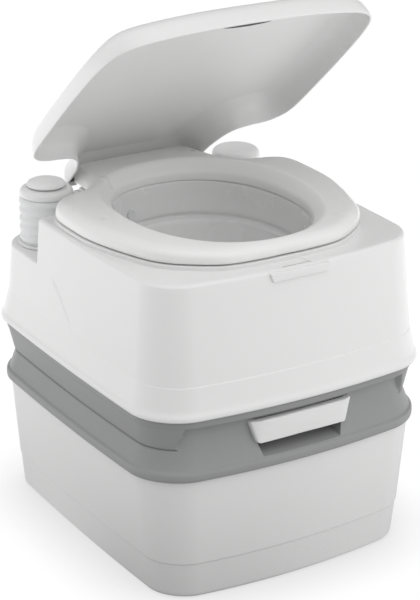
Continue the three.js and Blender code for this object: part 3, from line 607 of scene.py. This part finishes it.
ca, sa = math.cos(math.radians(-OPEN)), math.sin(math.radians(-OPEN))
V = np.stack([V[:, 0], HY + V[:, 1] * ca - V[:, 2] * sa, HZ + V[:, 1] * sa + V[:, 2] * ca], 1)
def to_open(V):
    return np.stack([V[:, 0], HY + V[:, 1] * ca - V[:, 2] * sa, HZ + V[:, 1] * sa + V[:, 2] * ca], 1)
make("lid_cover", V, F, M_SHELL, "lid", ("lid",), sharp=50)
# lens-shaped dark strip let into the front rim of the lid: painted shade standing in for the shadow inside the finger
# slot, off-centre and tapering like that shadow
n_ = 60
tt = np.linspace(0, TAU, 28, endpoint=False)
rows = []
for k in range(n_ + 1):
    u = k / n_
    x = -47 + 64 * u
    g = max(0.04, math.sin(math.pi * u) ** 0.45)
    v0 = np.interp(x, [-60, 0, 60], [-375.0, -376.5, -375.0]) + 3.6
    rows.append(np.stack([np.full(28, x), v0 + 1.5 * g * np.cos(tt), -2.6 + 2.6 * g * np.sin(tt)], 1))
V, F = grid(rows, cap0=True, cap1=True)
make("lid_slot_painted_shade", to_open(V), F, M_DARK, "lid", (), sharp=60)

# ------------------------------------------------------------------ waste tank
WK = np.array([(0, 168.2, -199.2, 200.0, 40), (44.2, 173.0, -202.0, 200.8, 43), (45.6, 174.0, -203.0, 201.6, 43.5), (150, 186, -206.6, 201, 52), (162, 186, -206.6, 201, 52), (180, 176, -196.6, 191, 44)])
def waste_r(z, t_, d=0.0):
    hw, yf, yr, r = (np.interp(z, WK[:, 0], WK[:, k]) for k in (1, 2, 3, 4))
    return ray(section(hw - d, yf + d, yr - d, max(r - d, 8)), t_)
def waste_fine(x, y):
    return 1 + 1.2 * np.exp(-((np.abs(x) - 61) / 6.0) ** 2) * (y < 0)
tw = angles(section(180, -205, 201, 46), 1.9, waste_fine)
rows = []
def grip(P, depth=-175.5, half=61.0, z0=160.2):
    """Pushes the wall in behind the collar's hand recess."""
    m = (1 - smooth(half - 0.8, half + 0.8, np.abs(P[:, 0]))) * smooth(z0 - 1.2, z0 + 0.4, P[:, 2]) * (P[:, 1] < 0)
    Q = P.copy()
    Q[:, 1] = np.maximum(P[:, 1], P[:, 1] * (1 - m) + depth * m)
    return Q
for t in (0.05, 0.2, 0.4, 0.6, 0.8):
    rows.append(pol(tw, (waste_r(0, tw) - 6) * t, 0.0))
for a in np.linspace(-90, 0, 8):
    rows.append(pol(tw, waste_r(6, tw) - 6 * (1 - math.cos(math.radians(a))), 6 + 6 * math.sin(math.radians(a))))
for z in (10, 20, 32, 40, 43.6, 44.2, 44.6, 45.0, 45.4, 45.8, 47, 52, 62, 75, 90, 105, 120, 135, 148, 155, 158.5, 159.5, 160.2, 161, 162, 165, 168, 170):
    rows.append(grip(pol(tw, waste_r(z, tw), z)))
dk = waste_r(170, tw)
for a in np.linspace(10, 90, 6):
    s_, c_ = math.sin(math.radians(a)), math.cos(math.radians(a))
    rows.append(grip(pol(tw, dk - 10 * (1 - c_), 170 + 10 * s_)))
hw_ = ray(oval(53, 53, 2), tw)
for t in (0.1, 0.3, 0.5, 0.7, 0.9, 1.0):
    rows.append(grip(pol(tw, (dk - 10) * (1 - t) + hw_ * t, 180.0)))
rows.append(pol(tw, hw_, 176.4))
for t in (0.85, 0.6, 0.35, 0.12):
    rows.append(grip(pol(tw, (dk - 13) * (1 - t) + hw_ * t, 176.4), -172.0, 64.6, 157))
for z in (171, 163, 158, 156, 140, 100, 60, 20, 8):
    rows.append(grip(pol(tw, waste_r(z, tw, 3.6) - (4 if z < 10 else 0), z), -172.0, 64.6, 157))
for t in (0.95, 0.6, 0.3, 0.05):
    rows.append(pol(tw, (waste_r(6, tw, 3.6) - 6) * t, 3.6))
V, F = grid(rows, cap0=True, cap1=True)
make("waste_tank_shell", V, F, M_SHELL, "root", ("waste_tank",), sharp=50)

# ------------------------------------------------------------------ collar
BASE = ([152, 152.6, 154, 156.5, 160, 161.8, 163, 163.8, 164.6, 166, 170, 175, 180, 184, 188, 192, 197, 203, 208, 212, 214.4, 215.6, 217, 226],
        [3.2, 1.4, 0.3, 0.0, 0.15, 0.5, 1.2, 2.3, 3.5, 4.3, 6.1, 8.1, 10.0, 11.4, 12.7, 13.9, 14.9, 15.3, 14.6, 12.4, 8.6, 6.0, 5.0, 4.2])
PANEL = ([152, 187.2, 187.7, 188.2, 188.8, 190.5, 200, 212, 226], [20, 20, 15.6, 12.2, 11.4, 10.9, 9.0, 6.6, 4.2])
def col_sec(d, z, t_):
    t = np.interp(z, [152, 170, 195, 226], [0, 0.1, 0.5, 1.0])
    return ray(section(191.5 - d, -212 - 1.5 * t + d, 206 + 7 * t - d, 56 - d, 18, 5.5, 4), t_)
def col_fine(x, y):
    f = 1 + 3.0 * np.exp(-((np.abs(x) - 55) / 4.5) ** 2) * (y < 0) + 3.0 * np.exp(-((np.abs(x) - 146) / 7.0) ** 2) * (y < -100)
    f += 2.0 * np.exp(-((x + 138) / 4.0) ** 2) * (y > 0) + 2.0 * np.exp(-((x + 48) / 4.0) ** 2) * (y > 0) + 1.5 * np.exp(-((x - 40) / 3.0) ** 2) * (y > 0) + 1.5 * np.exp(-((x - 90) / 3.0) ** 2) * (y > 0)
    return f
tc = angles(section(185, -206, 202, 54), 1.6, col_fine)
def trap_mask(P, zt, zb, wt, wb, e=1.0, zsoft=0.8):
    """1 inside a trapezoid in the front plane."""
    x, z = np.abs(P[:, 0]), P[:, 2]
    lim = wb + (wt - wb) * (z - zb) / (zt - zb)
    return (1 - smooth(-e, e, x - lim)) * smooth(zb - zsoft, zb + zsoft, z) * (1 - smooth(zt - zsoft, zt + zsoft, z)) * (P[:, 1] < 0)
LIM_LOW, LIM_TOP = 152.0, 146.0
def panel_lim(z):
    return np.interp(z, [184, 187, 189, 191.5, 215, 226], [LIM_LOW - 5.5, LIM_LOW - 3.0, LIM_LOW - 0.8, LIM_LOW, LIM_TOP, LIM_TOP - 2])
def col_row(z):
    rf = col_sec(pchip(*BASE, z), z, tc)
    rp = col_sec(min(pchip(*BASE, z) + 1.5 * math.exp(-((z - 186.9) / 0.75) ** 2), pchip(*PANEL, z)), z, tc)
    P = pol(tc, rp, z)
    lim = panel_lim(z)
    m = (1 - smooth(-0.9, 0.9, np.abs(P[:, 0]) - lim)) * (P[:, 1] < 0)
    P = pol(tc, rp * (1 - m) + rf * m, z)
    return P
zs = np.concatenate([[152.0, 152.3, 152.8, 153.6, 154.8, 156.5, 158.5, 160.3, 161.6, 162.6, 163.2, 163.8, 164.4, 165.0, 165.5, 165.9, 166.3, 166.8, 167.6, 169, 171, 173, 175, 177, 179.2, 181],
                     np.arange(182.0, 184.6, 0.45), [185.2, 185.9, 186.4, 186.9, 187.3, 187.7, 188.1, 188.6, 189.3, 190.4, 192, 194.2, 195.8, 197.4], [198.0, 198.4, 198.8, 199.2, 201, 203, 205.2, 205.7, 206.1, 206.6], [208, 209.5, 211, 212.2, 213, 213.6, 214.2, 214.8, 215.4, 216.2, 217.4, 219, 221.5, 224]])
rows = [col_row(z) for z in zs]
e0 = rows[-1]
def rad_in(P, d, z):
    r = np.hypot(P[:, 0], P[:, 1])
    return np.stack([P[:, 0] * (1 - d / r), P[:, 1] * (1 - d / r), np.full(len(P), z)], 1)
rows += [rad_in(e0, 0.3, 224.9), rad_in(e0, 1.0, 225.4), rad_in(e0, 2.6, 225.5)]
for z in (224, 216, 208, 207, 205.6, 199, 197.5, 192, 186, 184.8, 183.8, 175, 170, 162.4, 161.6, 158, 153.5, 152.0):
    d = min(pchip(*BASE, z), pchip(*PANEL, z), 12.5) + (3.3 if z < 186 or z > 190 else 4.6)
    r1, r2 = col_sec(d, z, tc), col_sec(max(d, float(pchip(*BASE, z)) + 3.0), z, tc)
    m = (1 - smooth(-1.5, 1.5, np.abs(r1 * np.cos(tc)) - panel_lim(z) - 4.0)) * (np.sin(tc) < 0)
    P = pol(tc, r1 * (1 - m) + r2 * m, z)
    if z > 171:
        P[:, 1] = np.where(np.abs(P[:, 0]) < 160, np.maximum(P[:, 1], -188.0 + 0.0 * P[:, 1]), P[:, 1])
    g = trap_mask(P, 185.4, 161.0, 60.4, 56, 1.0, 0.8)
    P[:, 1] = P[:, 1] * (1 - g) + np.maximum(P[:, 1], -176.5) * g
    rows.append(P)
V, F = grid(rows, loop=True)
collar = make("grey_collar", V, F, M_GREY, "root", ("collar",), sharp=40)
GRIP = [(-50.05, -230, 159.8), (50.05, -230, 159.8), (53.8, -179.2, 171.7), (-53.8, -179.2, 171.7), (-57.4, -230, 183.2), (57.4, -230, 183.2), (57.4, -179.2, 183.2), (-57.4, -179.2, 183.2)]
cut(collar, [GRIP, (-25, 25, -230, -176, 198.6, 206), (-138, -48, 168, 240, 182.4, 240), (48, 82, 168, 240, 211, 240), (39.5, 90.5, 195.4, 240, 182, 224.5)])

# ------------------------------------------------------------------ handle and catch: cushioned pads in a vertical plane
def pad(name, outline, centre, depth_front, depth_back, edge, bow, mat, body, rep, step=0.9, lean=0.0):
    """Plate in the x-z plane with rounded front edges. bow(x) shifts the plate back towards its ends."""
    c = np.asarray(centre, float)
    t_ = angles(outline, step, None, c)
    r0 = ray(outline, t_, c)
    rows_ = []
    def put(r, y):
        X, Z = c[0] + r * np.cos(t_), c[1] + r * np.sin(t_)
        rows_.append(np.stack([X, y + bow(X) + lean * (Z - c[1]), Z], 1))
    for t in (0.02, 0.5, 0.9):
        put(r0 * t, depth_back)
    put(r0 - 0.6, depth_back)
    put(r0 - 0.15, depth_back - 0.15)
    put(r0, depth_back - 0.6)
    for a in np.linspace(0, 90, 8):
        put(r0 - edge * (1 - math.cos(math.radians(a))), depth_front + edge * (1 - math.sin(math.radians(a))))
    for t in (0.93, 0.8, 0.6, 0.4, 0.2, 0.02):
        put((r0 - edge) * t, depth_front - 0.5 * (1 - t))
    V_, F_ = grid(rows_, cap0=True, cap1=True)
    return make(name, V_, F_, mat, body, rep, sharp=45)
def round_poly(pts, r, n=10):
    out, m = [], len(pts)
    P = [np.array(p, float) for p in pts]
    for i in range(m):
        a, b, c_ = P[i - 1], P[i], P[(i + 1) % m]
        rr = r[i] if isinstance(r, (list, tuple)) else r
        u, v = (a - b) / np.hypot(*(a - b)), (c_ - b) / np.hypot(*(c_ - b))
        half_ang = math.acos(np.clip(u @ v, -1, 1)) / 2
        d = rr / math.tan(half_ang)
        s0, s1 = b + u * d, b + v * d
        cc = b + (u + v) / np.hypot(*(u + v)) * rr / math.sin(half_ang)
        a0, a1 = math.atan2(*(s0 - cc)[::-1]), math.atan2(*(s1 - cc)[::-1])
        da = (a1 - a0 + math.pi) % TAU - math.pi
        out += [cc + rr * np.array([math.cos(a0 + da * k / n), math.sin(a0 + da * k / n)]) for k in range(n + 1)]
    return np.array(out)
hb = lambda x: 1.6 * (x / 68.0) ** 2 + 3.4 * smooth(56.5, 68.0, np.abs(x))
pad("pull_handle", round_poly([(-59, 181.8), (59.5, 181.8), (68.5, 209.2), (-67.5, 209.2)], [5.0, 2.5, 1.6, 2.5]), (0, 195.5), -207.0, -199.2, 2.2, hb, M_SHELL, "blade", ("valve_handle",))
pad("front_catch", round_poly([(-36, 366.4), (36, 366.4), (39.5, 376.4), (-39.5, 376.4)], [2.5, 2.5, 1.2, 1.2]), (0, 371.5), -197.0, -192.5, 1.2, lambda x: 17 * (x / 176.0) ** 2, M_SHELL, "flush_section", ("lid_catch",))

# ------------------------------------------------------------------ bellows pump
B0, B1, NB = 326.4, 382.0, 5
prof = []
p = (B1 - B0) / NB
for i in range(NB):
    for k in range(14):
        u = k / 14
        g = 0.5 - 0.5 * math.cos(TAU * u)
        prof.append((30.6 + 2.3 * g ** 0.7, B0 + p * (i + u)))
prof += [(30.3, B1 - 0.2), (29.6, B1), (20, B1), (0, B1)]
inner = [(28.4, B1 - 2.4), (28.2, B0 + 30), (28.2, B0)]
th_b = np.linspace(0, TAU, 120, endpoint=False)
rows = [pol(th_b, r, z, (PX, PY)) for r, z in prof[:-1]]
rows += [pol(th_b, 1.0, B1, (PX, PY))]
rows = [pol(th_b, 1.0, B1 - 2.4, (PX, PY)), pol(th_b, 20, B1 - 2.4, (PX, PY))] + [pol(th_b, r, z, (PX, PY)) for r, z in inner] + rows
V, F = grid(rows, cap0=True, cap1=True)
bellows = make("bellows", V, F, M_SOFT, "flush_section", ("pump_bellows",), sharp=60)
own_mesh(bellows)
turned("pump_knob_cap", [(0, 382.3), (26, 382.3)] + arc(29.4, 384.8, 2.5, -90, 0, 6) + arc(26.4, 386.6, 5.5, 0, 62, 8) + [(26.6, 391.9), (23.5, 392.5), (20, 392.9)] + arc(17.6, 393.5, 0.6, -90, -180, 4)
       + [(16.8, 394.1), (17.6, 394.5), (20.0, 394.8)] + arc(22.2, 395.9, 1.2, -90, 60, 7) + [(21.4, 398.9), (18.5, 400.3), (14, 401.5), (8, 402.3), (3, 402.55), (0, 402.6)], PX, PY, M_SHELL, "pump_knob", ("pump_knob",))
turned("pump_clamp", [(25, 323.35), (34.6, 323.35), (35.2, 323.9), (35.2, 325.0)] + arc(34.2, 325.2, 1.0, 0, 90, 4) + [(32.5, 326.3), (25.4, 326.3), (25, 326.0)], PX, PY, M_SHELL, "flush_section", ("pump_clamp_ring",))

# ------------------------------------------------------------------ filler neck and cap
turned("filler_spigot", [(18, 312), (21.5, 312), (21.5, 323.3), (27.4, 323.35), (28, 323.9), (28, 357)] + arc(27, 357.4, 1.0, 0, 70, 3) + [(24.6, 360.4), (24.5, 391), (18, 391)], FX, FY, M_SHELL, "flush_section", ("filler_neck",))
def cap_flutes(t_, r, z):
    k = smooth(364.5, 367, z) * (1 - smooth(386, 389.5, z)) if r > 29 else 0.0
    return r - 0.55 * k * (0.5 + 0.5 * np.cos(t_ * 40))
turned("filler_cap_shell", [(0, 394.4), (25.2, 394.4), (25.2, 362.2), (28.9, 362.2)] + arc(29.2, 363.0, 0.8, -90, 0, 3) + [(30, z) for z in (364.5, 365.5, 366.4, 367.2, 370, 376, 382, 386, 387, 388, 389, 390)]
       + [(29.8, 391.4), (29.2, 393.0), (28.2, 394.6), (26.8, 396.0), (25.0, 397.1), (22.5, 397.9), (18, 398.5), (10, 398.9), (0, 399.0)], FX, FY, M_SHELL, "filler_cap", ("filler_cap",), n=160, flute=cap_flutes)

# ------------------------------------------------------------------ CAD nodes that stay: procedural finish and softened edges
slot_of = {s["node"]: s["material_slot"] for s in frame["record"]["subparts"]}
for n, ob in NODES.items():
    mt = SLOT_MAT[slot_of[n]]
    ob.data.materials.clear()
    ob.data.materials.append(mt)
    if not ob.hide_render:
        mod = ob.modifiers.new("soft_edges", "BEVEL")
        mod.width = 0.0005
        mod.segments = 2
        mod.limit_method = "ANGLE"
        mod.angle_limit = math.radians(32)
        mod.harden_normals = True
        for poly in ob.data.polygons:
            poly.use_smooth = True

# ------------------------------------------------------------------ stage, light, camera
def plane(name, size, z, mat):
    me = bpy.data.meshes.new(name)
    s = size / 2
    me.from_pydata([(-s, -s, z), (s, -s, z), (s, s, z), (-s, s, z)], [], [(0, 1, 2, 3)])
    ob = bpy.data.objects.new(name, me)
    bpy.context.scene.collection.objects.link(ob)
    me.materials.append(mat)
    return ob
def studio_floor():
    """Pale sweep: bright under the camera with a faint contact shade, softer close to the object as a light source."""
    m_ = bpy.data.materials.new("pale_sweep")
    m_.use_nodes = True
    nt = m_.node_tree
    nt.nodes.clear()
    N, L = nt.nodes.new, nt.links.new
    out, mix, path = N("ShaderNodeOutputMaterial"), N("ShaderNodeMixShader"), N("ShaderNodeLightPath")
    e_cam, e_fill, co = N("ShaderNodeEmission"), N("ShaderNodeEmission"), N("ShaderNodeNewGeometry")
    # camera rays see the floor's glow dimmed by ambient occlusion near the object: a painted contact shadow
    ao = N("ShaderNodeAmbientOcclusion"); ao.samples = 8; ao.inputs["Distance"].default_value = 0.10
    r1 = N("ShaderNodeMapRange"); r1.inputs["From Min"].default_value = 0.35; r1.inputs["From Max"].default_value = 0.95
    r1.inputs["To Min"].default_value = 0.74; r1.inputs["To Max"].default_value = 1.02
    L(ao.outputs["AO"], r1.inputs["Value"]); L(r1.outputs[0], e_cam.inputs["Strength"])
    ln = N("ShaderNodeVectorMath"); ln.operation = "LENGTH"
    L(co.outputs["Position"], ln.inputs[0])
    nz = N("ShaderNodeTexNoise"); nz.inputs["Scale"].default_value = 3.0
    L(co.outputs["Position"], nz.inputs["Vector"])
    r2 = N("ShaderNodeMapRange"); r2.interpolation_type = "SMOOTHSTEP"
    r2.inputs["From Min"].default_value = 0.22; r2.inputs["From Max"].default_value = 0.95; r2.inputs["To Min"].default_value = FLOOR_NEAR; r2.inputs["To Max"].default_value = FLOOR_FAR
    L(ln.outputs["Value"], r2.inputs["Value"])
    ad = N("ShaderNodeMath"); ad.operation = "MULTIPLY_ADD"; ad.inputs[1].default_value = 0.02
    L(nz.outputs["Fac"], ad.inputs[0]); L(r2.outputs[0], ad.inputs[2])
    nm = N("ShaderNodeVectorMath"); nm.operation = "NORMALIZE"
    L(co.outputs["Position"], nm.inputs[0])
    dt = N("ShaderNodeVectorMath"); dt.operation = "DOT_PRODUCT"; dt.inputs[1].default_value = (-0.66, -0.75, 0.0)
    L(nm.outputs["Vector"], dt.inputs[0])
    mxm = N("ShaderNodeMath"); mxm.operation = "MAXIMUM"; mxm.inputs[1].default_value = 0.0
    L(dt.outputs["Value"], mxm.inputs[0])
    pwr = N("ShaderNodeMath"); pwr.operation = "POWER"; pwr.inputs[1].default_value = 2.5
    L(mxm.outputs[0], pwr.inputs[0])
    fac = N("ShaderNodeMath"); fac.operation = "MULTIPLY_ADD"; fac.inputs[1].default_value = -0.52; fac.inputs[2].default_value = 1.0
    L(pwr.outputs[0], fac.inputs[0])
    dl = N("ShaderNodeVectorMath"); dl.operation = "DOT_PRODUCT"; dl.inputs[1].default_value = (-0.95, 0.30, 0.0)
    L(nm.outputs["Vector"], dl.inputs[0])
    ml = N("ShaderNodeMath"); ml.operation = "MAXIMUM"; ml.inputs[1].default_value = 0.0
    L(dl.outputs["Value"], ml.inputs[0])
    sl = N("ShaderNodeMath"); sl.operation = "MULTIPLY_ADD"; sl.inputs[1].default_value = 0.15
    L(ml.outputs[0], sl.inputs[0]); L(fac.outputs[0], sl.inputs[2])
    st = N("ShaderNodeMath"); st.operation = "MULTIPLY"
    L(ad.outputs[0], st.inputs[0]); L(sl.outputs[0], st.inputs[1]); L(st.outputs[0], e_fill.inputs["Strength"])
    L(path.outputs["Is Camera Ray"], mix.inputs[0]); L(e_fill.outputs[0], mix.inputs[1]); L(e_cam.outputs[0], mix.inputs[2]); L(mix.outputs[0], out.inputs[0])
    return m_
FLOOR_NEAR, FLOOR_FAR = 0.60, 1.36
plane("floor", 30.0, -0.0006, studio_floor())

LOBES = [((0.99, 0.0, 0.14), 0.24, 3.0), ((0.0, 0.99, 0.20), 0.06, 3.0), ((-0.75, 0.65, 0.14), 0.60, 5.0), ((-0.45, 0.45, 0.77), 0.58, 3.0), ((-0.99, 0.0, 0.14), 0.06, 3.0),
         ((0.65, -0.75, 0.14), 0.62, 5.0), ((0.45, -0.45, 0.77), 0.46, 3.0), ((-0.12, -0.50, 0.86), 1.25, 4.0)]
AMBIENT = 0.05
world = bpy.data.worlds.new("studio")
bpy.context.scene.world = world
world.use_nodes = True
wn = world.node_tree
wn.nodes.clear()
WN, WL = wn.nodes.new, wn.links.new
tc_ = WN("ShaderNodeTexCoord")
acc = None
for d_, gain, power in LOBES:
    dv = np.array(d_) / np.linalg.norm(d_)
    dot = WN("ShaderNodeVectorMath"); dot.operation = "DOT_PRODUCT"; dot.inputs[1].default_value = dv
    WL(tc_.outputs["Generated"], dot.inputs[0])
    mx = WN("ShaderNodeMath"); mx.operation = "MAXIMUM"; mx.inputs[1].default_value = 0.0
    WL(dot.outputs["Value"], mx.inputs[0])
    pw = WN("ShaderNodeMath"); pw.operation = "POWER"; pw.inputs[1].default_value = power
    WL(mx.outputs[0], pw.inputs[0])
    ma = WN("ShaderNodeMath"); ma.operation = "MULTIPLY_ADD"; ma.inputs[1].default_value = gain
    WL(pw.outputs[0], ma.inputs[0])
    if acc is None:
        ma.inputs[2].default_value = AMBIENT
    else:
        WL(acc.outputs[0], ma.inputs[2])
    acc = ma
bg, wo = WN("ShaderNodeBackground"), WN("ShaderNodeOutputWorld")
seen, pick, path = WN("ShaderNodeBackground"), WN("ShaderNodeMixShader"), WN("ShaderNodeLightPath")
bg.inputs[0].default_value = (1.0, 1.0, 1.0, 1)
WL(acc.outputs[0], bg.inputs[1])
seen.inputs[0].default_value = (1.0, 1.0, 1.0, 1)
seen.inputs[1].default_value = 1.0
WL(path.outputs["Is Camera Ray"], pick.inputs[0])
WL(bg.outputs[0], pick.inputs[1])
WL(seen.outputs[0], pick.inputs[2])
WL(pick.outputs[0], wo.inputs[0])

def area(name, loc, target, size, power, size_y=None):
    l = bpy.data.lights.new(name, "AREA")
    l.shape = "RECTANGLE"
    l.size, l.size_y, l.energy = size, size_y or size, power
    o = bpy.data.objects.new(name, l)
    bpy.context.scene.collection.objects.link(o)
    o.location = loc
    d = np.array(target, float) - np.array(loc, float)
    o.rotation_euler = Vector(d).to_track_quat("-Z", "Y").to_euler()
    return o
area("left_softbox", (-2.2, 0.4, 1.3), (0, 0, 0.25), 1.2, 0.6, 1.6)
area("right_softbox", (1.6, -2.0, 0.9), (0, 0, 0.2), 1.2, 0.8, 1.4)
area("top_softbox", (0.2, 0.3, 2.6), (0, 0, 0.3), 1.4, 3)

AZ, EL, DIST, FPX, CX, CY = math.radians(-31.63), math.radians(21.92), 2.47478, 2091.89, 206.9, 297.65
back = Vector((math.sin(AZ) * math.cos(EL), -math.cos(AZ) * math.cos(EL), math.sin(EL)))
right = Vector((math.cos(AZ), math.sin(AZ), 0))
up = back.cross(right)
cam_d = bpy.data.cameras.new("camera")
cam = bpy.data.objects.new("camera", cam_d)
bpy.context.scene.collection.objects.link(cam)
roll = math.radians(0.25)
r2 = right * math.cos(roll) + up * math.sin(roll)
u2 = up * math.cos(roll) - right * math.sin(roll)
m = Matrix((r2, u2, back)).transposed().to_4x4()
m.translation = Vector((0, 0, 0.27375)) + back * DIST
cam.matrix_world = m
cam_d.sensor_fit = "AUTO"
cam_d.sensor_width = 36.0
cam_d.lens = FPX / 600 * 36
cam_d.shift_x = (210 - CX) / 600
cam_d.shift_y = -(300 - CY) / 600
cam_d.clip_end = 60
bpy.context.scene.camera = cam
bpy.context.scene.view_settings.view_transform = "Standard"
bpy.context.scene.view_settings.look = "None"
